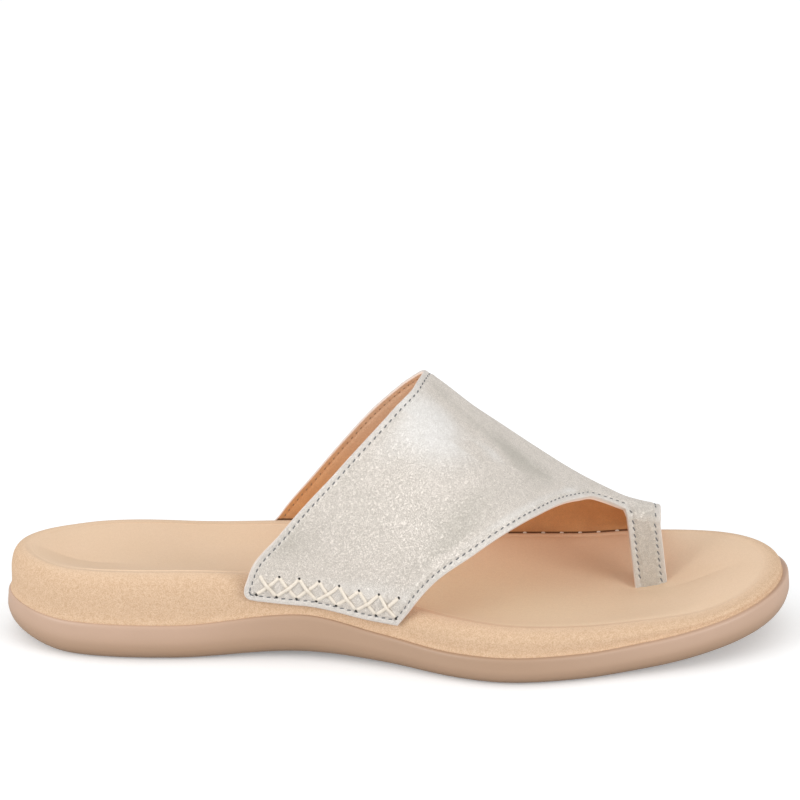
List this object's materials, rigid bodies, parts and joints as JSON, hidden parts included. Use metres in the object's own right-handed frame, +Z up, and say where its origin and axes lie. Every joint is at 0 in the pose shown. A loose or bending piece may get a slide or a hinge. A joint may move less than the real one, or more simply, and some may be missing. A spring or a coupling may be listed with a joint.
{
  "type": "toe loop sandal",
  "caption": "Slip-on sandal for the right foot with a cupped footbed, a low convex outsole and a hollow leather upper that ends in a loop for the big toe.",
  "frame": {"origin": "bottom centre of the bounding box, on the plane that the sole stands on", "axes": "+X from heel to toe, +Y to the inner side of the foot, +Z up"},
  "size_m": [0.256, 0.094, 0.0875],
  "materials": {
    "outsole_rubber": "satin",
    "footbed_suede": "napped suede",
    "insole_suede": "smooth suede",
    "metallic_leather": "pale metallic, fine grain"
  },
  "bodies": {
    "root": {"outsole": "outsole_rubber", "midsole": "footbed_suede", "insole": "insole_suede", "upper": "metallic_leather"}
  },
  "joints": []
}
